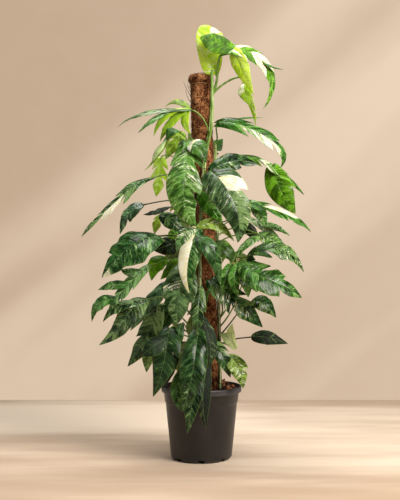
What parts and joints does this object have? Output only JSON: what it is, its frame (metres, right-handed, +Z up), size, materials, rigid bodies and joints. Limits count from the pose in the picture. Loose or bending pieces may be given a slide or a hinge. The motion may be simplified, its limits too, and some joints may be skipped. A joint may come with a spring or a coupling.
{
  "type": "potted climbing houseplant",
  "caption": "Tall climbing houseplant with long slashed cream-marbled leaves on a coir pole, standing in a plain round nursery pot.",
  "frame": {"origin": "centre of the pot's flat base, on the plane it stands on", "axes": "+Z up, -Y towards the front of the plant as pictured"},
  "size_m": [0.7555, 0.4894, 1.4577],
  "materials": {
    "pot": "satin",
    "soil": "matte",
    "stake": "matte",
    "coir": "matte",
    "leaf": "satin"
  },
  "bodies": {
    "root": {"pot": "pot", "soil": "soil", "pole_core": "stake", "pole_coir": "coir", "pole_binding": "coir", "pole_cap": "coir", "stem_tall": "leaf", "stem_front": "leaf", "stem_right": "leaf", "stem_left": "leaf", "stem_back_left": "leaf", "stem_back_right": "leaf"}
  },
  "joints": []
}
